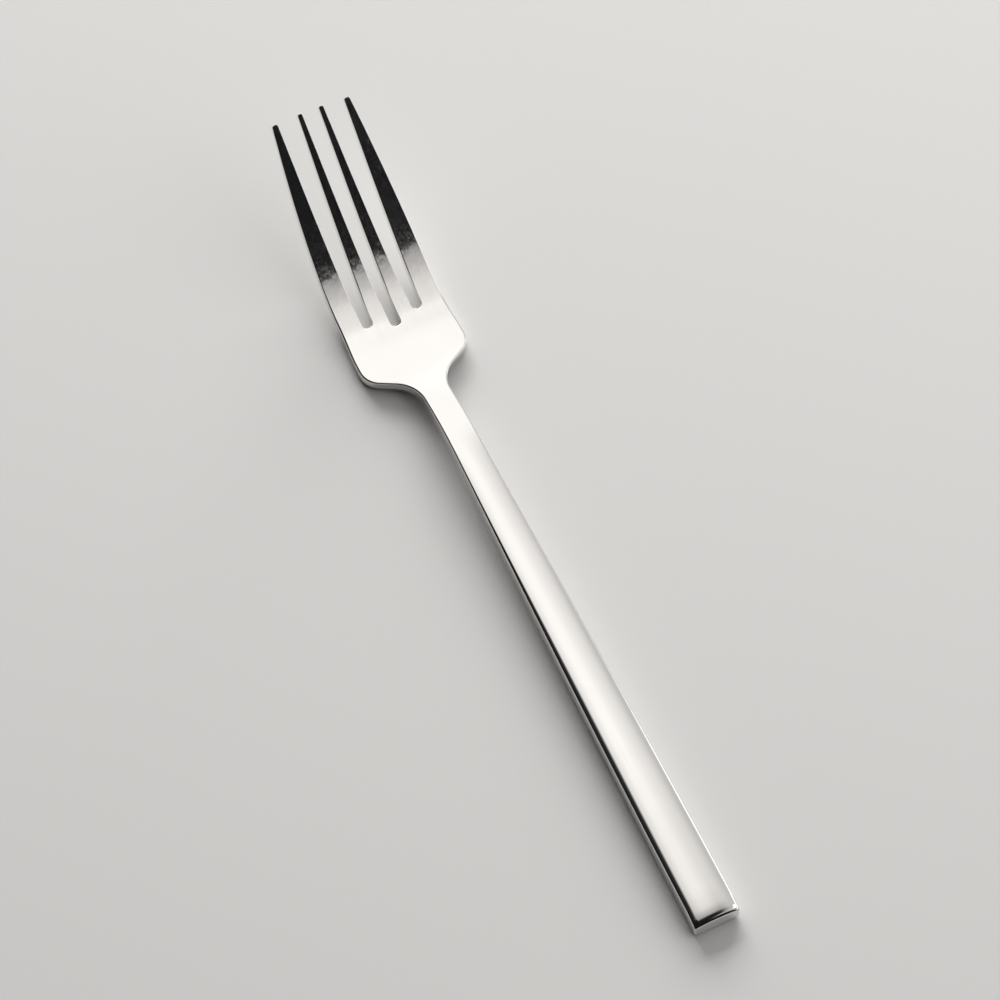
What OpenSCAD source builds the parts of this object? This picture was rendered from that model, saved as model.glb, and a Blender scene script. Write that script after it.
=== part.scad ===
// Dinner fork with four tines and a square-ended handle, one piece of polished stainless steel.
// The flat blank is drawn first, then bent along the fork's side profile.
// Distances along the fork run from the butt along the middle of the blank's thickness.

/* [Handle] */
// Width of the square butt end
butt_width = 11.2; // [9:0.1:14]
// Thickness of the butt end
butt_thickness = 4.5; // [3.6:0.1:6]
// Length of the handle, from the butt to the neck
handle_length = 119; // [100:1:140]
// Radius along the handle's upper edges, at the butt
handle_top_radius = 1.3; // [0.5:0.1:1.4]
// Radius along the handle's lower edges
handle_bottom_radius = 1; // [0.4:0.1:1.4]
// Radius round the butt's end face
butt_radius = 1; // [0.4:0.1:1.4]
// Fall of the upper face towards the butt's end
butt_droop = 0.9; // [0:0.1:1.2]
// Length over which the upper face falls
butt_droop_length = 9; // [5:1:14]
// Rise of the handle's crowned upper face above its edges
handle_crown = 0.18; // [0.05:0.01:0.4]

/* [Neck] */
// Width of the neck at its narrowest
neck_width = 6.9; // [5.5:0.1:8.5]
// Thickness of the neck where it meets the handle
neck_thickness = 3.4; // [2.8:0.1:4.4]
// Length of the neck, from the handle to the head
neck_length = 19; // [14:0.5:26]
// Radius along the neck's upper edges
neck_edge_radius = 0.4; // [0.2:0.05:0.8]
// Length over which the neck bends down to the head
neck_bend_length = 27.5; // [20:0.5:34]
// Angle that the neck bends down
neck_dip = 13.8; // [8:0.1:18]

/* [Head] */
// Width of the head across its shoulders
shoulder_width = 26.7; // [24:0.1:30]
// Radius of each rounded shoulder
shoulder_radius = 5.2; // [3.5:0.1:7]
// Radius of the hollow curve from the neck to each shoulder
neck_fillet_radius = 8; // [6:0.1:9]
// Slope of each shoulder, measured from square across the fork
shoulder_slope = 30; // [24:1:38]
// Length of the head, from the neck to where the tines part
head_length = 26; // [23:0.5:32]
// Width of the head where the tines start
root_width = 25.7; // [23:0.1:28]
// Thickness of the head
head_thickness = 2.3; // [1.8:0.1:3]
// Radius along the edges of the head
head_edge_radius = 0.5; // [0.3:0.05:0.8]
// Length over which the head and the tines' roots bend up
belly_bend_length = 43.8; // [34:0.2:54]
// Angle that the head bends up
belly_rise = 36.8; // [28:0.2:44]

/* [Tines] */
// Length of an outer tine, from the head to its tip
tine_length = 48.8; // [40:0.1:56]
// How much further an inner tine reaches than an outer one
inner_tine_lead = 0.3; // [0:0.1:1.5]
// Width of the three slots where the tines start
slot_width = 2.55; // [2:0.05:3.2]
// Depth of the two outer slots' round ends into the head
slot_depth = 2.9; // [2:0.1:5]
// How much deeper the middle slot ends than the outer ones
middle_slot_lead = 2.1; // [0:0.1:4]
// Width of an inner tine where it starts
inner_root_width = 3.75; // [3:0.05:4.4]
// Width of an inner tine at its tip
inner_tip_width = 1.1; // [0.9:0.05:1.6]
// Width of an outer tine at its tip
outer_tip_width = 1.35; // [1:0.05:2]
// Gap between the two inner tines at their tips
middle_tip_gap = 4.25; // [3.4:0.05:5]
// Gap between an inner and an outer tine at their tips
outer_tip_gap = 5.2; // [4.2:0.05:6]
// Thickness of the tines at their tips
tip_thickness = 1.5; // [1.2:0.05:2]
// Radius along the edges of the tines
tine_edge_radius = 0.4; // [0.2:0.05:0.5]
// Radius of the blunt tips
tip_radius = 0.45; // [0.3:0.05:0.5]
// Angle that the tines bend up beyond the head
tine_rise = 5; // [0:0.5:10]

/* [Hidden] */
steel = [0.80, 0.79, 0.78];
taper_reach_share = 0.3;
taper_blend_share = 0.02;
edge_run_share = 0.15;
least_radius_share = 0.05;
least_face_share = 0.1;
sharpen_start_share = 0.3;
sharpen_end_share = 1.14;
crown_fade_share = 0.95;
// The rounding of a tip stops at this angle, which leaves a small blunt flat
tip_turn = 70;

// How finely the surfaces are drawn
arc_steps = 3;
crown_steps = 4;
path_steps = 420;
droop_steps = 4;
handle_steps = 14;
neck_steps = 12;
shoulder_steps = 26;
side_steps = 10;
tine_steps = 20;

// Places along the blank
neck_start = handle_length;
neck_end = neck_start + neck_length;
root = neck_end + head_length;
outer_tip = root + tine_length;
inner_tip = outer_tip + inner_tine_lead;

// The handle's sides taper faster towards the neck and blend into it
taper_end = handle_length + neck_length * taper_reach_share;
taper_power = 1.75;
taper_blend = neck_width * taper_blend_share;
thinning_power = 1.3;
// The upper face falls to the butt on this power, and leaves the end face some height
droop_power = 3;
most_droop = butt_thickness * (1 - least_face_share) - butt_radius * 2 - handle_crown;
droop_depth = max(0, min(butt_droop, most_droop));
// The upper edges sharpen, and the crown fades, between these places
sharpen_start = handle_length * sharpen_start_share;
sharpen_end = handle_length * sharpen_end_share;
crown_fade_start = handle_length * crown_fade_share;
// The neck thins down to the head's thickness between these places
thinning_start = neck_start;
thinning_end = neck_end + head_length / 2;

// The shoulder's outline: a hollow arc, a straight slope and a round corner
hollow_turn = 90 - shoulder_slope;
hollow_end = neck_end + neck_fillet_radius * sin(hollow_turn);
hollow_end_x = neck_width / 2 + neck_fillet_radius * (1 - cos(hollow_turn));
corner_x = shoulder_width / 2 - shoulder_radius;
slope_end_x = corner_x + shoulder_radius * sin(shoulder_slope);
slope_end = hollow_end + (slope_end_x - hollow_end_x) * tan(shoulder_slope);
corner = slope_end + shoulder_radius * cos(shoulder_slope);
// Behind the shoulders the sides draw in to the root, then taper along the tines
tine_taper_power = 1.8;

// Edges of the slots and tines, measured across the fork from its middle line
middle_slot_edge = slot_width / 2;
outer_slot_in = middle_slot_edge + inner_root_width;
outer_slot_out = outer_slot_in + slot_width;
inner_tip_in = middle_tip_gap / 2;
inner_tip_out = inner_tip_in + inner_tip_width;
outer_tip_in = inner_tip_out + outer_tip_gap;
outer_tip_out = outer_tip_in + outer_tip_width;
edge_run = tine_length * edge_run_share;
// A sharp corner keeps this small radius, so that each face has some width
least_radius = tine_edge_radius * least_radius_share;

path_step = inner_tip / path_steps;

function clamp(t) = max(0, min(1, t));
function ease(t) = let (c = clamp(t)) c * c * c * (c * (6 * c - 15) + 10);
function mix(a, b, t) = a + (b - a) * t;

// Angle of the blank above the handle's line at a place along it
function bend_angle(s) =
    belly_rise * ease((s - neck_end) / belly_bend_length)
    - neck_dip * ease((s - neck_start) / neck_bend_length)
    + tine_rise * ease((s - root) / tine_length);

// Half the width of the blank's outer edge
function handle_half(s) =
    let (over = (butt_width - neck_width) / 2 * (1 - pow(max(0, s) / taper_end, taper_power)))
    neck_width / 2 + (over + sqrt(over * over + taper_blend * taper_blend)) / 2;
function shoulder_half(s) =
    s < hollow_end ? neck_width / 2 + neck_fillet_radius
        - sqrt(pow(neck_fillet_radius, 2) - pow(s - neck_end, 2))
    : s < slope_end ? hollow_end_x + (s - hollow_end) / tan(shoulder_slope)
    : corner_x + sqrt(max(0, pow(shoulder_radius, 2) - pow(corner - s, 2)));
function side_half(s) =
    mix(shoulder_width, root_width, ease((s - corner) / (root - corner))) / 2
    - (root_width / 2 - outer_tip_out) * pow(clamp((s - root) / tine_length), tine_taper_power);
function half_width(s) =
    s <= neck_end ? handle_half(s) : s < corner ? shoulder_half(s) : side_half(s);

// Thickness of the blank
function thickness(s) =
    s <= handle_length
        ? mix(neck_thickness, butt_thickness, pow(1 - s / handle_length, thinning_power))
    : s <= root
        ? mix(neck_thickness, head_thickness, ease((s - thinning_start) / (thinning_end - thinning_start)))
    : mix(head_thickness, tip_thickness, clamp((s - root) / tine_length));

// The bent middle line as rows of place, forward and up, before the fork is laid on its table
walk = [for (i = 0, y = 0, z = 0; i <= path_steps;
    y = y + path_step * cos(bend_angle((i + 0.5) * path_step)),
    z = z + path_step * sin(bend_angle((i + 0.5) * path_step)),
    i = i + 1) [i * path_step, y, z]];
walk_y = [for (w = walk) [w[0], w[1]]];
walk_z = [for (w = walk) [w[0], w[2]]];

// The fork rests on the butt's lower edge and on the belly of its head
heel_y = butt_radius;
heel_z = -thickness(butt_radius) / 2;
function belly_angle(s) = let (a = bend_angle(s), t = thickness(s) / 2)
    atan2(lookup(s, walk_z) - t * cos(a) - heel_z, lookup(s, walk_y) + t * sin(a) - heel_y);
belly_places = [for (w = walk) if (w[0] > neck_end && w[0] < root + tine_length / 2) w[0]];
lay_angle = -min([for (s = belly_places) belly_angle(s)]);

function laid(y, z) = let (dy = y - heel_y, dz = z - heel_z)
    [dy * cos(lay_angle) - dz * sin(lay_angle), dy * sin(lay_angle) + dz * cos(lay_angle)];

// A point at x across the fork, s along it and n above the middle of its thickness
function place(x, s, n) =
    let (a = bend_angle(s), p = laid(lookup(s, walk_y) - n * sin(a), lookup(s, walk_z) + n * cos(a)))
    [x, p[0] - middle, p[1]];

// The origin lies halfway between the butt's end face and the foremost point of the inner tips
reach_back = laid(0, butt_thickness / 2 - droop_depth - butt_radius)[0];
tip_angle = bend_angle(inner_tip);
under_tip = tip_thickness / 2 - tip_radius * (1 - cos(tip_turn));
reach_front = laid(lookup(inner_tip, walk_y) + under_tip * sin(tip_angle),
    lookup(inner_tip, walk_z) - under_tip * cos(tip_angle))[0];
middle = (reach_back + reach_front) / 2;

// Points of one rounded corner, turning left from the angle given
function corner_arc(x, n, r, from) =
    [for (i = [0:arc_steps]) let (a = from + 90 * i / arc_steps) [x + r * cos(a), n + r * sin(a)]];

// A section from x0 to x1, t thick, with an upper and a lower radius on each side, drawn in by an inset.
// Its upper face is lower by fall, and its upper edges by the crown as well.
function section(x0, x1, t, top0, top1, low0, low1, crown, fall, inset) =
    let (
        a = x0 + inset, b = x1 - inset, up = t / 2 - inset - crown - fall, down = inset - t / 2,
        rt0 = max(least_radius, top0 - inset), rt1 = max(least_radius, top1 - inset),
        rl0 = max(least_radius, low0 - inset), rl1 = max(least_radius, low1 - inset),
        flat_end = b - rt1, flat_start = a + rt0)
    concat(
        corner_arc(a + rl0, down + rl0, rl0, 180),
        corner_arc(b - rl1, down + rl1, rl1, 270),
        corner_arc(flat_end, up - rt1, rt1, 0),
        [for (i = [1:crown_steps - 1]) let (u = i / crown_steps)
            [mix(flat_end, flat_start, u), up + crown * 4 * u * (1 - u)]],
        corner_arc(flat_start, up - rt0, rt0, 90));

// Joins rings of points, given from the butt towards the tips, into one closed solid
module loft(rings) {
    n = len(rings[0]);
    last = len(rings) - 1;
    points = [for (ring = rings) each ring];
    sides = [for (i = [0:last - 1]) for (k = [0:n - 1])
        let (a = i * n + k, b = i * n + (k + 1) % n, c = b + n, d = a + n)
        each [[a, b, c], [a, c, d]]];
    back = [for (k = [0:n - 1]) n - 1 - k];
    front = [for (k = [0:n - 1]) last * n + k];
    polyhedron(points = points, faces = concat(sides, [back, front]));
}

function bent(outline, s) = [for (p = outline) place(p[0], s, p[1])];
function stations(from, to, count) = [for (i = [0:count]) mix(from, to, i / count)];

// Upper and lower edge radius of the handle, neck and head
function grip_radius(s) =
    mix(handle_top_radius, neck_edge_radius, ease((s - sharpen_start) / (sharpen_end - sharpen_start)));
function thinned(s) = ease((s - neck_start) / (thinning_end - neck_start));
function top_radius(s) = mix(grip_radius(s), head_edge_radius, thinned(s));
function low_radius(s) = mix(handle_bottom_radius, head_edge_radius, thinned(s));
// The crown is less where the face is narrower, so that its edges keep the same slope
function crown_at(s) =
    handle_crown * (half_width(s) - top_radius(s)) / (butt_width / 2 - handle_top_radius)
    * (1 - ease((s - crown_fade_start) / (neck_end - crown_fade_start)));
function droop(s) = droop_depth * pow(1 - clamp(s / butt_droop_length), droop_power);
function body_ring(s, inset = 0) =
    let (w = half_width(s), t = top_radius(s), l = low_radius(s))
    bent(section(-w, w, thickness(s), t, t, l, l, crown_at(s), droop(s), inset), s);

module handle() {
    rounding = [for (i = [0:arc_steps]) 90 * i / arc_steps];
    color(steel) loft(concat(
        [for (a = rounding) body_ring(butt_radius * (1 - cos(a)), butt_radius * (1 - sin(a)))],
        [for (s = concat(
            stations(butt_radius, butt_droop_length, droop_steps),
            [for (s = stations(butt_droop_length, neck_start, handle_steps)) if (s > butt_droop_length) s]))
            if (s > butt_radius) body_ring(s)]));
}

module neck() {
    color(steel) loft([for (s = stations(neck_start, neck_end, neck_steps)) body_ring(s)]);
}

module head() {
    color(steel) difference() {
        loft([for (s = concat(
            stations(neck_end, corner, shoulder_steps),
            [for (s = stations(corner, root, side_steps)) if (s > corner) s])) body_ring(s)]);
        slot(0, root - slot_depth - middle_slot_lead);
        for (side = [-1, 1])
            slot(side * (outer_slot_in + outer_slot_out) / 2, root - slot_depth);
    }
}

// A cutter for one slot: a round end, and parallel walls out past the head
module slot(x, end) {
    centre = end + slot_width / 2;
    lie = bend_angle(centre) + lay_angle;
    translate(place(x, centre, 0)) rotate([lie, 0, 0]) {
        cylinder(h = head_thickness * 2, d = slot_width, center = true, $fn = 48);
        translate([-slot_width / 2, 0, -head_length / 2]) cube([slot_width, head_length, head_length]);
    }
}

// One tine on the right of the fork, between its inner and outer edges at the root and at the tip
module tine(root_in, root_out, tip_in, tip_out, tip, outer) {
    function grown(s) = ease((s - root) / edge_run);
    function edge(from, to, s) = mix(from, to, (s - root) / (tip - root));
    function out(s) = outer ? half_width(s) : edge(root_out, tip_out, s);
    function ring(s, inset) =
        let (
            cut = mix(least_radius, tine_edge_radius, grown(s)),
            rim = outer ? mix(head_edge_radius, tine_edge_radius, grown(s)) : cut)
        bent(section(edge(root_in, tip_in, s), out(s), thickness(s), cut, rim, cut, rim, 0, 0, inset), s);
    tip_start = tip - tip_radius;
    loft(concat(
        [for (s = stations(root, tip_start, tine_steps)) ring(s, 0)],
        [for (i = [1:arc_steps]) let (a = tip_turn * i / arc_steps)
            ring(tip_start + tip_radius * sin(a) / sin(tip_turn), tip_radius * (1 - cos(a)))]));
}

module inner_tine() {
    tine(middle_slot_edge, outer_slot_in, inner_tip_in, inner_tip_out, inner_tip, false);
}

module outer_tine() {
    tine(outer_slot_out, root_width / 2, outer_tip_in, outer_tip_out, outer_tip, true);
}

module inner_tine_right() { color(steel) inner_tine(); }
module inner_tine_left() { color(steel) mirror([1, 0, 0]) inner_tine(); }
module outer_tine_right() { color(steel) outer_tine(); }
module outer_tine_left() { color(steel) mirror([1, 0, 0]) outer_tine(); }

handle();
neck();
head();
outer_tine_left();
inner_tine_left();
inner_tine_right();
outer_tine_right();
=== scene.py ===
import math

import bpy
import numpy as np
from mathutils import Matrix, Vector
from mathutils.geometry import delaunay_2d_cdt


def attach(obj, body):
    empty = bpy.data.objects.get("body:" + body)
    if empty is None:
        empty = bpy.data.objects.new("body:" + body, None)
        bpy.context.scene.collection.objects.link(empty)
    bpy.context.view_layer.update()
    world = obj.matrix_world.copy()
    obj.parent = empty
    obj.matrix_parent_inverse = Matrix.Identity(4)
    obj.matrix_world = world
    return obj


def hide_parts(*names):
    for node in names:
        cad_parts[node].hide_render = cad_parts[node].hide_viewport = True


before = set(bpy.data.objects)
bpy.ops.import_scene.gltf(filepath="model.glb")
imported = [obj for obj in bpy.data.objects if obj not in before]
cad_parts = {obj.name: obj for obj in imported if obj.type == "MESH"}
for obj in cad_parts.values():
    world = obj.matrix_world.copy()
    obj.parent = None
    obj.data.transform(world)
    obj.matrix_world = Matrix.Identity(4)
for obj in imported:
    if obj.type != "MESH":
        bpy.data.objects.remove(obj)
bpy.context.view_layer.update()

scene = bpy.context.scene
MM = 0.001

# Sizes in millimetres, as in the part's source
# W is a width, T a thickness, L a length and R a radius. NECK_DIP and the two rises are bends in degrees
BUTT_W, BUTT_T, HANDLE_L, BUTT_R, CROWN = 11.2, 4.5, 119.0, 1.0, 0.18
NECK_W, NECK_T, NECK_L, NECK_BEND, NECK_DIP = 6.9, 3.4, 19.0, 27.5, 13.8
SHOULDER_W, SHOULDER_R, FILLET_R, SLOPE = 26.7, 5.2, 8.0, math.radians(30)
HEAD_L, ROOT_W, HEAD_T, BELLY_BEND, BELLY_RISE = 26.0, 25.7, 2.3, 43.8, 36.8
TINE_L, LEAD, SLOT_W, SLOT_D, MID_LEAD = 48.8, 0.3, 2.55, 2.9, 2.1
IN_ROOT_W, IN_TIP_W, OUT_TIP_W, MID_GAP, OUT_GAP = 3.75, 1.1, 1.35, 4.25, 5.2
TIP_T, TIP_R, TIP_TURN, TINE_RISE = 1.5, 0.45, math.radians(70), 5.0
TAPER_POWER, THIN_POWER, TINE_POWER = 1.75, 1.3, 1.8
TAPER_SHARE, BLEND_SHARE, CROWN_FADE = 0.3, 0.02, 0.95

# Places along the flat blank are measured from the butt. S is a start and E an end
NECK_S = HANDLE_L
NECK_E = NECK_S + NECK_L
ROOT = NECK_E + HEAD_L
OUT_TIP = ROOT + TINE_L
IN_TIP = OUT_TIP + LEAD
TAPER_E = HANDLE_L + NECK_L * TAPER_SHARE
BLEND = NECK_W * BLEND_SHARE
THIN_S, THIN_E = NECK_S, NECK_E + HEAD_L / 2

# The shoulder's outline: a hollow arc from the neck, a straight slope and a round corner
HOLLOW = math.pi / 2 - SLOPE
HOLLOW_E = NECK_E + FILLET_R * math.sin(HOLLOW)
HOLLOW_X = NECK_W / 2 + FILLET_R * (1 - math.cos(HOLLOW))
CORNER_X = SHOULDER_W / 2 - SHOULDER_R
SLOPE_X = CORNER_X + SHOULDER_R * math.sin(SLOPE)
SLOPE_E = HOLLOW_E + (SLOPE_X - HOLLOW_X) * math.tan(SLOPE)
CORNER = SLOPE_E + SHOULDER_R * math.cos(SLOPE)

# Edges of the tines at their roots and their tips, from the middle outwards, and centres of the slots' ends
MID_EDGE = SLOT_W / 2
SLOT_IN = MID_EDGE + IN_ROOT_W
SLOT_OUT = SLOT_IN + SLOT_W
TIP_A = MID_GAP / 2
TIP_B = TIP_A + IN_TIP_W
TIP_C = TIP_B + OUT_GAP
TIP_D = TIP_C + OUT_TIP_W
OUT_SLOT_C = ROOT - SLOT_D + SLOT_W / 2
MID_SLOT_C = OUT_SLOT_C - MID_LEAD

# Widths of the upper edge rounding: at the butt, the neck, the head, the tines' roots and tips, and the slots
TOP_BUTT, TOP_NECK, TOP_HEAD, TOP_TINE, TOP_TIP, TOP_SLOT = 1.42, 0.4, 0.5, 0.38, 0.04, 0.1
# Widths of the lower edge rounding: at the butt, the neck, the head, the tines and the slots
LOW_BUTT, LOW_NECK, LOW_HEAD, LOW_TINE, LOW_SLOT = 1.2, 0.7, 0.5, 0.3, 0.25
# Places between which the upper rounding narrows from the butt's width to the neck's
SHARP_S, SHARP_E = HANDLE_L * 0.3, HANDLE_L * 1.14
# Both roundings pass from the head's width to the tines' over this length. The upper one also sharpens from
# a tine's root to its tip, by this power
TINE_BLEND, SHARP_POWER = 20, 0.7
# A slot's wall turns into the tine's edge over the first length, and its rounding changes over the second
WALL_BEND, WALL_BLEND = 3, 9
FLAT_BUTT, CROWN_E = BUTT_W / 2 - TOP_BUTT, HANDLE_L * CROWN_FADE
# The crown is worked out over at least this much of the upper face on each side of its middle
FLAT_LEAST = 1
# The upper face droops to the butt's end over this length, by this much
DROOP_L, DROOP = 9.0, 0.9

# The butt's corners seen from above: their radius, the share of their insets that is a true offset, and the
# length over which the edges beside them go back to true offsets
BUTT_PLAN, BUTT_KEEP, BUTT_RUN = 0.55, -0.4, 4
# The end face leans back by this much over the blank's thickness, from a little above its foot. The lean
# fades out up the handle
LEAN, LEAN_FOOT, LEAN_RUN = 1.5, 0.27, 9.0
# The handle's long upper edges are a soft shoulder, up to this turn, and then a tighter corner of this radius
SHOULDER, TIGHT = math.radians(20), 0.6
# Width of the upper rounding along the butt's end
TOP_END = 1.0
# Where an edge runs across the fork, its rounding has this share of its radius below this turn
FOOT, FOOT_SHARE = math.radians(50), 0.4

# The tines end this much short of the solids', and thin by the second size over the third. The thinning goes
# on a little past the outer tips, up to the last share of its length
TIP_BACK, TIP_THIN, TIP_RUN, TIP_PAST = 0.05, 0.16, 12.0, 1.1
# Radii of the tips seen from above, and how far before a tip its straight edges stop
OUT_TIP_R, IN_TIP_R, TIP_STOP = 0.56, 0.5, 0.75

# Spacing of the outline's points: along the handle, across its end, and this close to the butt's corners
HANDLE_STEP, END_STEP, FINE_STEP, FINE_RUN = 0.75, 0.4, 0.2, 1.8
# Spacing along the neck, the head's hollow, slope, corner and side, the tines and the slots
NECK_STEP, HOLLOW_STEP, SLOPE_STEP, CORNER_STEP, SIDE_STEP = 0.5, 0.2, 0.25, 0.18, 0.4
TINE_STEP, SLOT_STEP = 0.5, 0.4
# Steps round a corner of the butt, a corner of a tip and the end of a slot
BUTT_TURNS, TIP_TURNS, SLOT_TURNS = 12, 8, 24
# Points of the outline that are closer than this are one
SAME = 1e-3


def ease(t):
    """A smooth step from 0 to 1."""
    c = np.clip(t, 0, 1)
    return c * c * c * (c * (6 * c - 15) + 10)


def mix(a, b, t):
    """From a to b as t goes from 0 to 1."""
    return a + (b - a) * t


def bend(s):
    """The blank's slope in degrees at a place along it."""
    return (BELLY_RISE * ease((s - NECK_E) / BELLY_BEND) - NECK_DIP * ease((s - NECK_S) / NECK_BEND)
            + TINE_RISE * ease((s - ROOT) / TINE_L))


def half_width(s):
    """Half the width of the blank between its outer edges, at a place along it."""
    s = np.asarray(s, float)
    over = (BUTT_W - NECK_W) / 2 * (1 - (np.maximum(0, s) / TAPER_E) ** TAPER_POWER)
    handle = NECK_W / 2 + (over + np.sqrt(over * over + BLEND * BLEND)) / 2
    hollow = NECK_W / 2 + FILLET_R - np.sqrt(np.maximum(0, FILLET_R ** 2 - (s - NECK_E) ** 2))
    straight = HOLLOW_X + (s - HOLLOW_E) / math.tan(SLOPE)
    shoulder = CORNER_X + np.sqrt(np.maximum(0, SHOULDER_R ** 2 - (CORNER - s) ** 2))
    side = (mix(SHOULDER_W, ROOT_W, ease((s - CORNER) / (ROOT - CORNER))) / 2
            - (ROOT_W / 2 - TIP_D) * np.clip((s - ROOT) / TINE_L, 0, 1) ** TINE_POWER)
    return np.select([s <= NECK_E, s < HOLLOW_E, s < SLOPE_E, s < CORNER],
                     [handle, hollow, straight, shoulder], side)


def thickness(s):
    """The blank's thickness at a place along it."""
    s = np.asarray(s, float)
    grip = mix(NECK_T, BUTT_T, np.clip(1 - s / HANDLE_L, 0, 1) ** THIN_POWER)
    head = mix(NECK_T, HEAD_T, ease((s - THIN_S) / (THIN_E - THIN_S)))
    tine = mix(HEAD_T, TIP_T, np.clip((s - ROOT) / TINE_L, 0, 1))
    return np.select([s <= HANDLE_L, s <= ROOT], [grip, head], tine)


# The bent middle line, laid on its table
STEP, LINE_SPARE = 0.05, 1
line_s = np.arange(0, IN_TIP + LINE_SPARE, STEP)
mid_a = np.radians(bend(line_s + STEP / 2))
line_y = np.concatenate([[0], np.cumsum(np.cos(mid_a) * STEP)[:-1]])
line_z = np.concatenate([[0], np.cumsum(np.sin(mid_a) * STEP)[:-1]])
HEEL = (BUTT_R, -float(thickness(BUTT_R)) / 2)
belly = (line_s > NECK_E) & (line_s < ROOT + TINE_L / 2)
belly_a, belly_t = np.radians(bend(line_s[belly])), thickness(line_s[belly]) / 2
LAY = -float(np.min(np.arctan2(line_z[belly] - belly_t * np.cos(belly_a) - HEEL[1],
                               line_y[belly] + belly_t * np.sin(belly_a) - HEEL[0])))


def laid(y, z):
    """A point of the side view, turned so that the fork rests on its heel and its belly."""
    dy, dz = y - HEEL[0], z - HEEL[1]
    return dy * math.cos(LAY) - dz * math.sin(LAY), dy * math.sin(LAY) + dz * math.cos(LAY)


def bent(s, n):
    """Where a point along the flat blank, n above its middle, is in the side view."""
    a = np.radians(bend(s))
    return laid(np.interp(s, line_s, line_y) - n * np.sin(a), np.interp(s, line_s, line_z) + n * np.cos(a))


# The visible fork is lifted by this much, so that its fine mesh stays above the table
REST = 0.012
# The origin lies halfway between the butt's end face and the foremost point of the solids' inner tips
UNDER_TIP = TIP_T / 2 - TIP_R * (1 - math.cos(TIP_TURN))
MIDDLE = (laid(0, BUTT_T / 2 - DROOP - BUTT_R)[0] + float(bent(np.array(IN_TIP), -UNDER_TIP)[0])) / 2


def unit(rows):
    """The same directions with a length of 1."""
    return rows / np.linalg.norm(rows, axis=1, keepdims=True)


def fade(s):
    """How much of the end face's lean is left up the handle."""
    return np.clip(1 - s / LEAN_RUN, 0, 1) ** 2


def place(x, s, n):
    """Points of the bent fork in metres, from places across, along and above the middle of the flat blank."""
    y, z = bent(s + LEAN * fade(s) * (n / BUTT_T + LEAN_FOOT), n)
    return np.stack([x, y - MIDDLE, z + REST], -1) * MM


def turned(normal, s, n):
    """Normals of the flat blank, given across, along and up, turned with the bend."""
    a = np.radians(bend(s)) + LAY
    rate = np.radians(bend(s + STEP) - bend(s - STEP)) / (2 * STEP)
    grown = 1 - LEAN * 2 * np.clip(1 - s / LEAN_RUN, 0, 1) / LEAN_RUN * (n / BUTT_T + LEAN_FOOT)
    along = normal[:, 1] / grown
    lift = normal[:, 2] - along * LEAN * fade(s) / BUTT_T
    along = along / (1 - n * rate)
    return unit(np.stack([normal[:, 0], along * np.cos(a) - lift * np.sin(a),
                          along * np.sin(a) + lift * np.cos(a)], -1))


# The blank's faces and edge roundings
def sharpened(width, s):
    """An upper rounding that has this width at a tine's root and the tip's width at its tip."""
    return mix(width, TOP_TIP, np.clip((s - ROOT) / TINE_L, 0, 1) ** SHARP_POWER)


def upper_round(s):
    """Width of the upper rounding of the outer edge, at a place along the blank."""
    grip = mix(TOP_BUTT, TOP_NECK, ease((s - SHARP_S) / (SHARP_E - SHARP_S)))
    head = mix(grip, TOP_HEAD, ease((s - NECK_S) / (THIN_E - NECK_S)))
    return sharpened(mix(head, TOP_TINE, ease((s - ROOT) / TINE_BLEND)), s)


def lower_round(s):
    """Width of the lower rounding of the outer edge, at a place along the blank."""
    grip = mix(LOW_NECK, LOW_BUTT, np.clip(1 - s / HANDLE_L, 0, 1))
    head = mix(LOW_NECK, LOW_HEAD, ease((s - NECK_S) / (THIN_E - NECK_S)))
    tine = mix(LOW_HEAD, LOW_TINE, ease((s - ROOT) / TINE_BLEND))
    return np.select([s <= NECK_S, s <= ROOT], [grip, head], tine)


def upper(x, s):
    """Height of the upper face: crowned across the handle, drooping to its end and thinned at the tips."""
    flat = np.maximum(half_width(s) - upper_round(s), FLAT_LEAST)
    crown = CROWN * flat / FLAT_BUTT * (1 - ease((s - CROWN_E) / (NECK_E - CROWN_E)))
    roll = DROOP * np.clip(1 - s / DROOP_L, 0, 1) ** 3
    thin = TIP_THIN * np.clip((s - OUT_TIP + TIP_RUN) / TIP_RUN, 0, TIP_PAST) ** 2
    return thickness(s) / 2 - crown * (x / flat) ** 2 - roll - thin


def lower(x, s):
    """Height of the lower face, which is flat across the blank."""
    return -thickness(s) / 2 + 0 * x


def face_normal(height, way, x, s):
    """Normals of a face of the flat blank. way is 1 for the upper face and -1 for the lower one."""
    h = 0.02
    dx = (height(x + h, s) - height(x - h, s)) / (2 * h)
    ds = (height(x, s + h) - height(x, s - h)) / (2 * h)
    return np.stack([-dx * way, -ds * way, way + 0 * dx], -1)


# Chains: the outline's points with what their rings need

# A row is x, s, the outward normal, the way an inset goes, and the upper and lower rounding
def chain(x, s, nx, ns, vx, vs, up, down):
    columns = [np.asarray(v, float) for v in (x, s, nx, ns, vx, vs, up, down)]
    return np.stack(np.broadcast_arrays(*columns), -1)


def steps(*marks):
    """Places along the blank: marks are a start and then pairs of an end and a step."""
    out = [np.array([marks[0]], float)]
    for end, step in zip(marks[1::2], marks[2::2]):
        start = out[-1][-1]
        out.append(np.linspace(start, end, max(2, math.ceil(abs(end - start) / step) + 1))[1:])
    return np.concatenate(out)


def level(rows, *cuts):
    """Makes the insets of some rows run straight across, so that a cut there is plane."""
    for k in cuts:
        rows[k, 4], rows[k, 5] = 1 / rows[k, 2], 0
    return rows


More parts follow.
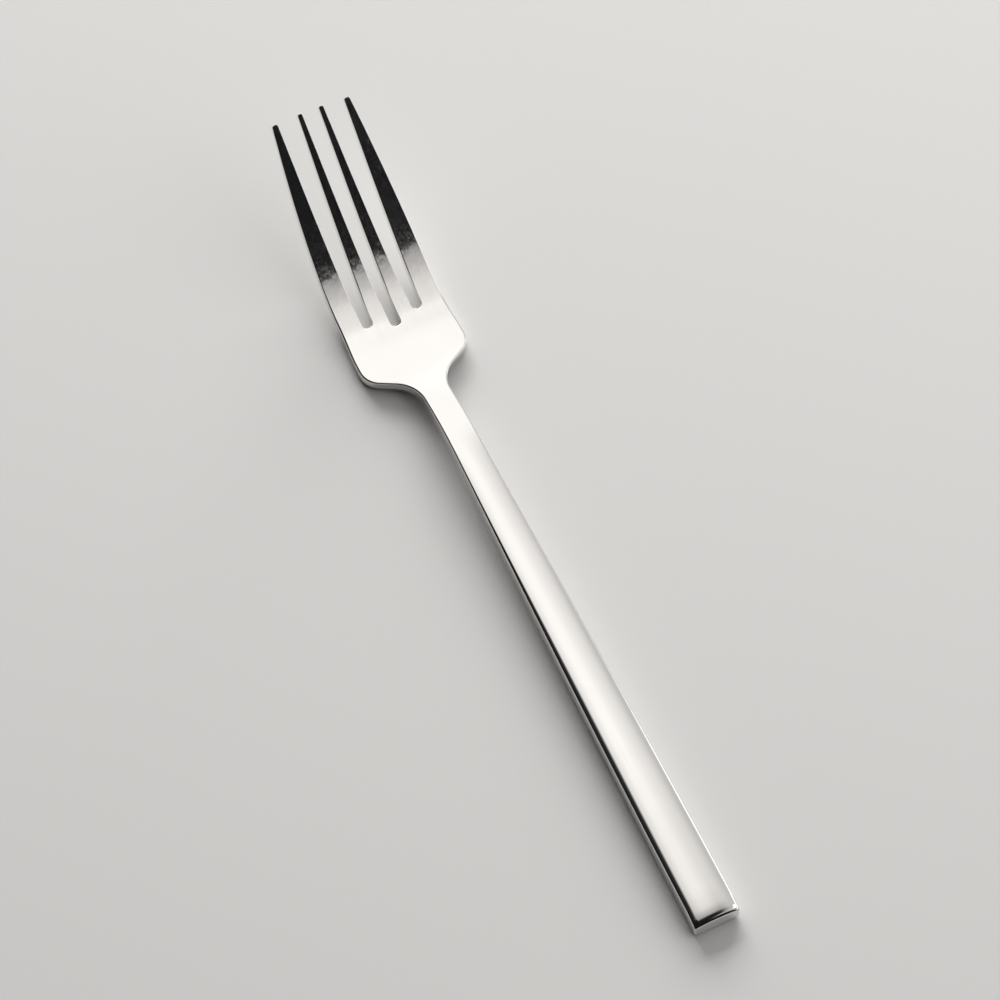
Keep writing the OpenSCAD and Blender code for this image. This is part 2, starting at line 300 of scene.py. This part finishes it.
def side(s):
    """The right side's outer edge, going up."""
    h = 0.01
    slope = (half_width(s + h) - half_width(s - h)) / (2 * h)
    slope = np.where(abs(s - NECK_E) < h, 0, slope)
    size = np.hypot(1, slope)
    return chain(half_width(s), s, 1 / size, -slope / size, 1 / size, -slope / size,
                 upper_round(s), lower_round(s))


def wall(x_root, x_tip, tip_s, low_s, high_s, way):
    """A tine's straight edge and the slot's wall below it, going up. way is 1 where the metal lies to its
    left."""
    if low_s < ROOT:
        s = steps(low_s, ROOT, SLOT_STEP, high_s, TINE_STEP)
    else:
        s = steps(ROOT, high_s, TINE_STEP)
    lean = (x_tip - x_root) / (tip_s - ROOT)
    slope = lean * np.clip((s - ROOT) / WALL_BEND + 0.5, 0, 1)
    size = np.hypot(1, slope)
    grown = ease((s - ROOT) / WALL_BLEND)
    nx, ns = way / size, -way * slope / size
    return chain(x_root + lean * np.maximum(0, s - ROOT), s, nx, ns, nx, ns,
                 mix(TOP_SLOT, sharpened(TOP_TINE, s), grown), mix(LOW_SLOT, LOW_TINE, grown))


def arc(cx, cs, r, a0, a1, count, up, down, way=1, keep=1.0, mitre=(0, 0)):
    """A round corner. way is -1 in a slot's hollow end. keep is the share of an inset that is a true offset,
    and the rest of it goes along the mitre."""
    a = np.linspace(a0, a1, count + 1)
    nx, ns = way * np.cos(a), way * np.sin(a)
    return chain(cx + r * np.cos(a), cs + r * np.sin(a), nx, ns,
                 keep * nx + (1 - keep) * mitre[0], keep * ns + (1 - keep) * mitre[1], up, down)


def tip(x_out, x_in, tip_s, slope_out, slope_in, radius):
    """The round end of a tine, from its right edge over to its left edge."""
    c1, c2 = np.array([x_out, tip_s]), np.array([x_in, tip_s])
    up, over, down = np.array([slope_out, 1.0]), np.array([-1.0, 0]), np.array([-slope_in, -1.0])
    up, down = up / np.linalg.norm(up), down / np.linalg.norm(down)
    parts = []
    for c, d0, d1 in ((c1, up, over), (c2, over, down)):
        angle = math.acos(float(d0 @ d1))
        start = c - d0 * radius * math.tan(angle / 2)
        centre = start + np.array([-d0[1], d0[0]]) * radius
        a0 = math.atan2(*(start - centre)[::-1])
        parts.append(arc(centre[0], centre[1], radius, a0, a0 + angle, TIP_TURNS, TOP_TIP, LOW_TINE))
    return np.concatenate(parts)


def joined(*chains):
    """Chains as one, without the points that they share."""
    rows = np.concatenate(chains)
    gap = np.hypot(*np.diff(rows[:, :2], axis=0).T)
    return rows[np.concatenate([[True], gap > SAME])]


def mirrored(rows):
    """The same chain on the fork's other side, run the other way."""
    return rows[::-1] * np.array([-1, 1, -1, 1, -1, 1, 1, 1])


def butt():
    """The handle's outline, from its left end at the neck, round the butt and up the right side."""
    w = float(half_width(BUTT_PLAN))
    down = float(lower_round(0.0))
    carry = 1 - BUTT_KEEP
    sides = side(steps(BUTT_PLAN, FINE_RUN, FINE_STEP, NECK_S, HANDLE_STEP))
    sides[:, 5] -= carry * (1 - ease((sides[:, 1] - BUTT_PLAN) / BUTT_RUN))
    level(sides, -1)
    up = mix(TOP_END, TOP_BUTT, ease(np.linspace(0, 1, BUTT_TURNS + 1)))
    corner = arc(w - BUTT_PLAN, BUTT_PLAN, BUTT_PLAN, -math.pi / 2, 0, BUTT_TURNS, up, down,
                 keep=BUTT_KEEP, mitre=(1, -1))
    x = steps(0, w - FINE_RUN, END_STEP, w - BUTT_PLAN, FINE_STEP)
    end = chain(x, 0 * x, 0, -1, carry * (1 - ease((w - BUTT_PLAN - x) / BUTT_RUN)), -1, TOP_END, down)
    right = joined(end, corner, sides)
    return np.concatenate([mirrored(right)[:-1], right])


def tine(root_out, root_in, tip_out, tip_in, tip_s, outer):
    """One tine on the right, up its right edge, over the tip and down its left edge."""
    radius = OUT_TIP_R if outer else IN_TIP_R
    tip_s -= TIP_BACK
    stop = tip_s - TIP_STOP
    slope_in = (tip_in - root_in) / (tip_s - ROOT)
    if outer:
        h = 0.2
        edge = side(steps(ROOT, stop, TINE_STEP))
        slope_out = float(half_width(stop) - half_width(stop - h)) / h
    else:
        edge = wall(root_out, tip_out, tip_s, ROOT, stop, 1)
        slope_out = (tip_out - root_out) / (tip_s - ROOT)
    back = wall(root_in, tip_in, tip_s, ROOT, stop, -1)[::-1]
    return level(joined(edge, tip(tip_out, tip_in, tip_s, slope_out, slope_in, radius), back), 0, -1)


def slot_end(cx, cs):
    """A slot's right wall going down, its round end, and its left wall going up."""
    r = SLOT_W / 2
    down = wall(cx + r, cx + r, IN_TIP, cs, ROOT, -1)[::-1]
    turn = arc(cx, cs, r, 0, -math.pi, SLOT_TURNS, TOP_SLOT, LOW_SLOT, -1)
    up = wall(cx - r, cx - r, IN_TIP, cs, ROOT, 1)
    return level(joined(down, turn, up), 0, -1)


# From chains to closed pieces

# Turns above level at which the roundings have their rows of points, and the spacing of points on the faces,
# which keep clear of the rim by a share of it
UP_LEVELS = np.radians([0, 10, 20, 30, 40, 50, 60, 70, 75, 80, 85, 90])
DOWN_LEVELS = np.radians(np.linspace(90, 0, 8))
GRID, CLEAR_SHARE = 0.75, 0.45
# Points of a face's net that are closer than this are one
NET_SAME = 1e-7


def shouldered(width, nx, f):
    """Inset and drop where an upper edge faces at angle f above level. On a long side a wide edge has a
    shoulder, and an edge across the fork has a tighter foot."""
    r = width - np.maximum(0, width - TIGHT) * nx ** 2
    wide = (width - r * (1 - math.sin(SHOULDER))) / math.sin(SHOULDER)
    start = wide * (1 - math.cos(SHOULDER))
    foot = r * mix(FOOT_SHARE, 1, nx ** 2)
    if f < FOOT:
        fall = start + r * (math.cos(SHOULDER) - math.sin(FOOT))
        return foot * (1 - math.cos(f)), fall + foot * (math.sin(FOOT) - math.sin(f))
    out = (r - foot) * (1 - math.cos(FOOT))
    if f > math.pi / 2 - SHOULDER:
        return width - wide * math.cos(f) - out, wide * (1 - math.sin(f))
    return r * (1 - math.cos(f)) - out, start + r * (math.cos(SHOULDER) - math.sin(f))


def inside(points, ring):
    """Which points lie inside a closed outline."""
    a, b = ring, np.roll(ring, -1, 0)
    hit = ((a[:, 1] > points[:, 1:2]) != (b[:, 1] > points[:, 1:2]))
    with np.errstate(divide="ignore", invalid="ignore"):
        x = a[:, 0] + (points[:, 1:2] - a[:, 1]) / (b[:, 1] - a[:, 1]) * (b[:, 0] - a[:, 0])
    return ((hit & (points[:, 0:1] < x)).sum(1) % 2).astype(bool)


def clear_of(points, ring):
    """How far points are from a closed outline."""
    a, b = ring, np.roll(ring, -1, 0)
    d = b - a
    t = np.clip(((points[:, None] - a) * d).sum(2) / np.maximum((d * d).sum(1), 1e-12), 0, 1)
    return np.sqrt((((a + d * t[..., None]) - points[:, None]) ** 2).sum(2).min(1))


def build(name, chains):
    """A closed mesh of one zone. Where a chain ends and the next starts, a plane cut joins them."""
    places, facings, faces, cuts = [], [], [], []

    def add(points, normals):
        first = len(places)
        places.extend(points)
        facings.extend(normals)
        return list(range(first, first + len(points)))

    # The roundings: a grid for each chain, from the lower face's rim over to the upper face's rim
    grids = []
    for rows in chains:
        x, s, nx, ns, vx, vs, up, down = rows.T
        share = vx * nx + vs * ns
        columns = []
        for f, upper_side in [(f, False) for f in DOWN_LEVELS] + [(f, True) for f in UP_LEVELS]:
            if upper_side:
                inset, drop = shouldered(up, nx, f)
            else:
                inset, drop = down * (1 - math.cos(f)), down * (1 - math.sin(f))
            px, ps = x - vx * inset, s - vs * inset
            height, way = (upper, 1) if upper_side else (lower, -1)
            n = height(px, ps) - way * drop
            flat = np.stack([nx, ns, 0 * nx], -1) * math.cos(f)
            normal = unit(flat + face_normal(height, way, px, ps) * (math.sin(f) * share)[:, None])
            columns.append(add(np.stack([px, ps, n], -1), normal))
        grid = np.array(columns)
        grids.append(grid)
        for i in range(len(grid) - 1):
            for k in range(grid.shape[1] - 1):
                faces.append([grid[i, k], grid[i, k + 1], grid[i + 1, k + 1], grid[i + 1, k]])

    # The plane cuts between the chains, and the closed rims of both faces
    low_ring, high_ring = [], []
    for g, grid in enumerate(grids):
        after = grids[(g + 1) % len(grids)]
        low_ring += list(grid[0])
        high_ring += list(grid[-1])
        cut = []
        for ring, row, height, way in ((low_ring, 0, lower, -1), (high_ring, -1, upper, 1)):
            a, b = places[grid[row, -1]], places[after[row, 0]]
            count = max(1, round(abs(b[0] - a[0]) / GRID))
            t = np.arange(1, count) / count
            cx, cs = mix(a[0], b[0], t), mix(a[1], b[1], t)
            normal = unit(face_normal(height, way, cx, cs))
            cut.append(add(np.stack([cx, cs, height(cx, cs)], -1), normal))
            ring += cut[-1]
        cuts.append(len(faces))
        faces.append((list(grid[:, -1]) + cut[1] + list(after[::-1, 0]) + cut[0][::-1])[::-1])

    # Both faces, as nets of triangles over their rims and a square grid inside
    for ring, height, way in ((low_ring, lower, -1), (high_ring, upper, 1)):
        edge = np.array([places[i][:2] for i in ring])
        low, high = edge.min(0), edge.max(0)
        gx = np.arange(math.floor(low[0] / GRID), math.ceil(high[0] / GRID) + 1) * GRID
        gs = np.arange(math.floor(low[1] / GRID), math.ceil(high[1] / GRID) + 1) * GRID
        points = np.stack(np.meshgrid(gx, gs), -1).reshape(-1, 2)
        points = points[inside(points, edge)]
        if len(points):
            points = points[clear_of(points, edge) > GRID * CLEAR_SHARE]
        px, ps = points[:, 0], points[:, 1]
        ids = ring + add(np.stack([px, ps, height(px, ps)], -1), unit(face_normal(height, way, px, ps)))
        flat = [Vector((float(places[i][0]), float(places[i][1]))) for i in ids]
        count = len(ring)
        verts, _, tris, origin, _, _ = delaunay_2d_cdt(flat, [], [list(range(count))], 1, NET_SAME)
        back = [o[0] if o else None for o in origin]
        if len(verts) != len(flat) or None in back:
            raise ValueError(f"{name}: the face's net has {len(verts)} points and not {len(flat)}")
        for triangle in tris:
            corners = [ids[back[k]] for k in triangle]
            p, q, r = (np.asarray(places[k][:2]) for k in corners)
            turn = (q[0] - p[0]) * (r[1] - p[1]) - (q[1] - p[1]) * (r[0] - p[0])
            faces.append(corners if turn * way > 0 else corners[::-1])

    # The mesh in its bent shape. Its normals are the blank's own, and a cut's are its plane's
    places, facings = np.array(places), np.array(facings)
    world = place(places[:, 0], places[:, 1], places[:, 2])
    normals = turned(facings, places[:, 1], places[:, 2])
    mesh = bpy.data.meshes.new(name)
    mesh.from_pydata([tuple(p) for p in world], [], [[int(i) for i in f] for f in faces])
    mesh.update()
    mesh.polygons.foreach_set("use_smooth", [True] * len(mesh.polygons))
    rims = {tuple(sorted(key)) for k in cuts for key in mesh.polygons[k].edge_keys}
    for edge in mesh.edges:
        edge.use_edge_sharp = tuple(sorted(edge.vertices)) in rims
    split = normals[[loop.vertex_index for loop in mesh.loops]]
    for k in cuts:
        for li in mesh.polygons[k].loop_indices:
            split[li] = mesh.polygons[k].normal
    mesh.normals_split_custom_set(split.tolist())
    piece = bpy.data.objects.new(name, mesh)
    scene.collection.objects.link(piece)
    return piece


handle_chain = butt()
neck_right = level(side(steps(NECK_S, NECK_E, NECK_STEP)), 0, -1)
head_steps = steps(NECK_E, HOLLOW_E, HOLLOW_STEP, SLOPE_E, SLOPE_STEP, CORNER, CORNER_STEP, ROOT, SIDE_STEP)
head_right = level(side(head_steps), 0, -1)
outer = tine(ROOT_W / 2, SLOT_OUT, TIP_D, TIP_C, OUT_TIP, True)
inner = tine(SLOT_IN, MID_EDGE, TIP_B, TIP_A, IN_TIP, False)
slot_right = slot_end((SLOT_IN + SLOT_OUT) / 2, OUT_SLOT_C)
slot_middle = slot_end(0, MID_SLOT_C)

zones = {
    "handle": [handle_chain],
    "neck": [neck_right, mirrored(neck_right)],
    "head": [head_right, slot_right, slot_middle, mirrored(slot_right), mirrored(head_right)],
    "outer_tine_right": [outer],
    "inner_tine_right": [inner],
    "inner_tine_left": [mirrored(inner)],
    "outer_tine_left": [mirrored(outer)],
}


# Material
def node(tree, kind, **values):
    """A new shader node. A value sets the node's property of that name, or else its input."""
    made = tree.nodes.new(kind)
    for key, value in values.items():
        if hasattr(made, key):
            setattr(made, key, value)
        else:
            made.inputs[key].default_value = value
    return made


def steel_material():
    mat = bpy.data.materials.new("polished_steel")
    mat.use_nodes = True
    tree = mat.node_tree
    tree.nodes.clear()
    link = tree.links.new
    out = tree.nodes.new("ShaderNodeOutputMaterial")
    bsdf = node(tree, "ShaderNodeBsdfPrincipled", Metallic=1.0)
    link(bsdf.outputs[0], out.inputs[0])
    where = tree.nodes.new("ShaderNodeTexCoord")

    def noise(scale, detail, stretch):
        stretched = node(tree, "ShaderNodeMapping", Scale=stretch)
        link(where.outputs["Object"], stretched.inputs["Vector"])
        cloud = node(tree, "ShaderNodeTexNoise", Scale=scale, Detail=detail)
        link(stretched.outputs[0], cloud.inputs["Vector"])
        return cloud

    tint = tree.nodes.new("ShaderNodeValToRGB")
    tint.color_ramp.elements[0].position, tint.color_ramp.elements[1].position = 0.35, 0.65
    tint.color_ramp.elements[0].color = (0.775, 0.757, 0.742, 1)
    tint.color_ramp.elements[1].color = (0.79, 0.775, 0.76, 1)
    link(noise(scale=60, detail=3, stretch=(1, 1, 1)).outputs[0], tint.inputs[0])
    link(tint.outputs[0], bsdf.inputs["Base Color"])

    hair = noise(scale=2600, detail=4, stretch=(1, 0.06, 1))
    rough = node(tree, "ShaderNodeMapRange")
    rough.inputs["From Min"].default_value, rough.inputs["From Max"].default_value = 0.3, 0.75
    rough.inputs["To Min"].default_value, rough.inputs["To Max"].default_value = 0.05, 0.11
    link(hair.outputs[0], rough.inputs["Value"])
    link(rough.outputs[0], bsdf.inputs["Roughness"])

    waves = node(tree, "ShaderNodeBump", Strength=0.35, Distance=0.00002)
    link(noise(scale=170, detail=1, stretch=(1, 1, 1)).outputs[0], waves.inputs["Height"])
    # The ripples fade in from the middle of the head to just past the tines' roots
    along = tree.nodes.new("ShaderNodeSeparateXYZ")
    link(where.outputs["Object"], along.inputs[0])
    tines = node(tree, "ShaderNodeMapRange")
    tines.inputs["From Min"].default_value, tines.inputs["From Max"].default_value = 0.045, 0.065
    link(along.outputs["Y"], tines.inputs["Value"])
    hammered = node(tree, "ShaderNodeMath", operation="MULTIPLY")
    link(noise(scale=450, detail=2, stretch=(1, 0.6, 1)).outputs[0], hammered.inputs[0])
    link(tines.outputs[0], hammered.inputs[1])
    ripple = node(tree, "ShaderNodeBump", Strength=1.0, Distance=0.00003)
    link(hammered.outputs[0], ripple.inputs["Height"])
    link(waves.outputs[0], ripple.inputs["Normal"])
    lines = node(tree, "ShaderNodeBump", Strength=0.05, Distance=0.000002)
    link(hair.outputs[0], lines.inputs["Height"])
    link(ripple.outputs[0], lines.inputs["Normal"])
    link(lines.outputs[0], bsdf.inputs["Normal"])
    return mat


steel = steel_material()
for name, chains in zones.items():
    piece = build("steel_" + name, chains)
    piece.data.materials.append(steel)
    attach(piece, "root")
    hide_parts(name)

# Camera, as the photograph was taken

# Turns in radians, the focal length and the photograph's side in pixels, and the rest in millimetres
ELEVATION, YAW, ROLL = 1.1362902, 0.6571106, 0.2112442
FOCAL, FAR, SHIFT_X, SHIFT_Y = 3974.09, 900.0, 64.86, -88.16
ROW_Y, ROW_Z = -103.01, -0.02
PHOTO_SIDE, SENSOR = 1000, 36


def from_view(x, y, z):
    """A point given in millimetres to the camera's right, away from it and up, as a point of the row frame in
    metres."""
    dx, dy = x - SHIFT_X, y - SHIFT_Y
    c, s = math.cos(YAW), math.sin(YAW)
    return Vector((dx * c + dy * s, -dx * s + dy * c + ROW_Y, z + ROW_Z)) * MM


def way_from_view(x, y, z):
    """A direction given to the right, away and up, as a direction of the row frame."""
    return (from_view(x, y, z) - from_view(0, 0, 0)) / MM


back = way_from_view(0, -math.cos(ELEVATION), math.sin(ELEVATION)).normalized()
across = way_from_view(1, 0, 0)
lift = way_from_view(0, math.sin(ELEVATION), math.cos(ELEVATION))
right_way = (across * math.cos(ROLL) + lift * math.sin(ROLL)).normalized()
up_way = (lift * math.cos(ROLL) - across * math.sin(ROLL)).normalized()
cam_data = bpy.data.cameras.new("camera")
cam_data.sensor_width = SENSOR
cam_data.lens = FOCAL / PHOTO_SIDE * SENSOR
cam_data.clip_start, cam_data.clip_end = 0.01, 50
cam = bpy.data.objects.new("camera", cam_data)
scene.collection.objects.link(cam)
spot = from_view(0, 0, 0) + back * FAR * MM
cam.matrix_world = Matrix.Translation(spot) @ Matrix((right_way, up_way, back)).transposed().to_4x4()
scene.camera = cam

# Floor and light
FLOOR_R, FLOOR_SIDES = 4, 96
floor_mesh = bpy.data.meshes.new("floor")
turns = np.linspace(0, 2 * math.pi, FLOOR_SIDES + 1)[:-1]
ring = [(FLOOR_R * math.cos(a), FLOOR_R * math.sin(a)) for a in turns]
# The floor is a flat disc with a raised rim: shares of its radius, and heights in metres
profile = [(1.0, 0.0), (1.02, 0.01), (1.04, 0.04), (1.055, 0.1), (1.06, 0.2), (1.06, 0.9)]
verts = [(0, 0, 0)] + [(x * k, y * k, z) for k, z in profile for x, y in ring]
count = len(ring)
polys = [(0, 1 + i, 1 + (i + 1) % count) for i in range(count)]
for j in range(len(profile) - 1):
    for i in range(count):
        a, b = 1 + j * count + i, 1 + j * count + (i + 1) % count
        polys.append((a, a + count, b + count, b))
floor_mesh.from_pydata(verts, [], polys)
floor_mesh.shade_smooth()
floor = bpy.data.objects.new("floor", floor_mesh)
scene.collection.objects.link(floor)
floor_mat = bpy.data.materials.new("floor_plain")
floor_mat.use_nodes = True
floor_bsdf = floor_mat.node_tree.nodes["Principled BSDF"]
floor_bsdf.inputs["Base Color"].default_value = (0.69, 0.685, 0.675, 1)
floor_bsdf.inputs["Roughness"].default_value = 0.9
floor_bsdf.inputs["Specular IOR Level"].default_value = 0.2
floor_mesh.materials.append(floor_mat)


def panel(name, low, high, radiance, color, across=None, along=None):
    """A soft rectangular lamp. low and high are its corners in the row frame, in metres, and one of their
    three ranges is zero. across and along are ramps of its brightness over its two sides."""
    low, high = Vector(low), Vector(high)
    size = high - low
    flat = min(range(3), key=lambda k: abs(size[k]))
    a, b = [k for k in range(3) if k != flat]
    light = bpy.data.lights.new(name, "AREA")
    light.shape = "RECTANGLE"
    light.size, light.size_y = abs(size[a]), abs(size[b])
    light.energy = radiance * math.pi * light.size * light.size_y
    light.color = color
    x, y, z = (Vector([float(k == i) for k in range(3)]) for i in (a, b, flat))
    if x.cross(y).dot(z) < 0:
        z = -z
    centre = (low + high) / 2
    if z.dot(centre) < 0:
        x, z = -x, -z
    lamp = bpy.data.objects.new(name, light)
    scene.collection.objects.link(lamp)
    lamp.matrix_world = Matrix.Translation(centre) @ Matrix((x, y, z)).transposed().to_4x4()
    if across or along:
        light.use_nodes = True
        tree = light.node_tree
        shine = next(n for n in tree.nodes if n.type == "EMISSION")
        where = tree.nodes.new("ShaderNodeNewGeometry")
        split = tree.nodes.new("ShaderNodeSeparateXYZ")
        tree.links.new(where.outputs["Parametric"], split.inputs[0])
        values = []
        for k, (ramp, start, length) in enumerate(((across, low[a], size[a]), (along, low[b], size[b]))):
            if not ramp:
                continue
            curve = tree.nodes.new("ShaderNodeFloatCurve")
            points = curve.mapping.curves[0].points
            marks = [((place - start) / length, value) for place, value in ramp]
            points[0].location, points[1].location = marks[0], marks[-1]
            for mark in marks[1:-1]:
                points.new(*mark)
            for point in points:
                point.handle_type = "AUTO_CLAMPED"
            curve.mapping.update()
            tree.links.new(split.outputs[k], curve.inputs["Value"])
            values.append(curve.outputs[0])
        if len(values) == 2:
            both = tree.nodes.new("ShaderNodeMath")
            both.operation = "MULTIPLY"
            tree.links.new(values[0], both.inputs[0])
            tree.links.new(values[1], both.inputs[1])
            values = [both.outputs[0]]
        tree.links.new(values[0], shine.inputs["Strength"])


WARM, DAY = (1, 0.985, 0.965), (1, 0.995, 0.985)
panel("overhead", (-0.9, -0.55, 1.25), (0.62, 1.85, 1.25), 1.25, WARM,
      [(-0.9, 0.01), (-0.53, 0.01), (-0.39, 0.025), (-0.25, 0.1), (-0.125, 0.35), (0, 0.6), (0.125, 0.8),
       (0.155, 0.87), (0.19, 0.965), (0.22, 1), (0.29, 1), (0.35, 0.93), (0.4, 0.875), (0.43, 0.83),
       (0.46, 0.72), (0.525, 0.39), (0.575, 0.13), (0.62, 0)],
      [(-0.55, 0), (-0.458, 0.01), (-0.445, 0.28), (-0.41, 0.39), (-0.304, 0.52), (-0.113, 0.75), (0.1, 0.83),
       (0.2, 0.92), (0.24, 0.98), (0.3, 1), (1.85, 1)])
panel("overhead_far", (0.31, 0.45, 1.27), (1.1, 1.85, 1.27), 1.21, WARM,
      [(0.31, 0), (0.35, 0.07), (0.46, 0.2), (0.6, 0.45), (0.7, 0.45), (1.1, 0)],
      [(0.45, 0), (0.85, 1), (1.85, 1)])
panel("ceiling_right", (0.45, -1.5, 1.29), (1.75, 1.85, 1.29), 0.66, DAY,
      [(0.45, 0), (0.525, 0.5), (0.575, 0.83), (0.65, 1), (1.75, 1)])
panel("wall_right", (1.75, -1.5, 0.02), (1.75, 1.85, 1.29), 0.68, DAY)
panel("ceiling_south", (0.4, -1.5, 1.31), (0.65, -0.78, 1.31), 0.66, DAY,
      [(0.4, 0), (0.46, 0.3), (0.51, 0.3), (0.575, 0.1), (0.65, 0)], [(-1.5, 1), (-0.95, 1), (-0.78, 0)])
panel("window_top", (0.7, -1.2, 1.33), (1.7, -0.56, 1.33), 1.1, DAY,
      [(0.7, 0), (0.82, 1), (1.6, 1), (1.7, 0)], [(-1.2, 0), (-1.12, 1), (-0.7, 1), (-0.56, 0)])
panel("window_side", (1.66, -1.5, 0.45), (1.66, 0.05, 1.1), 1.0, DAY,
      [(-1.5, 1), (-0.1, 1), (0.05, 0)], [(0.45, 0), (0.6, 1), (1.1, 1)])
panel("window_south", (0.6, -1.46, 0.45), (1.66, -1.46, 1.1), 1.0, DAY,
      [(0.6, 0), (0.8, 1), (1.66, 1)], [(0.45, 0), (0.6, 1), (1.1, 1)])
panel("window_right", (1.6, -0.02, 0.02), (1.6, 0.48, 0.95), 1.0, DAY,
      [(-0.02, 0), (0.1, 1), (0.32, 1), (0.42, 0.45), (0.48, 0)])
panel("window_far", (-0.3, 1.9, 0.3), (1.9, 1.9, 1.2), 15.0, DAY)

world = bpy.data.worlds.new("room")
scene.world = world
world.use_nodes = True
world.node_tree.nodes["Background"].inputs["Color"].default_value = (0.9, 0.95, 1.0, 1)
world.node_tree.nodes["Background"].inputs["Strength"].default_value = 0.01

scene.view_settings.view_transform = "Standard"
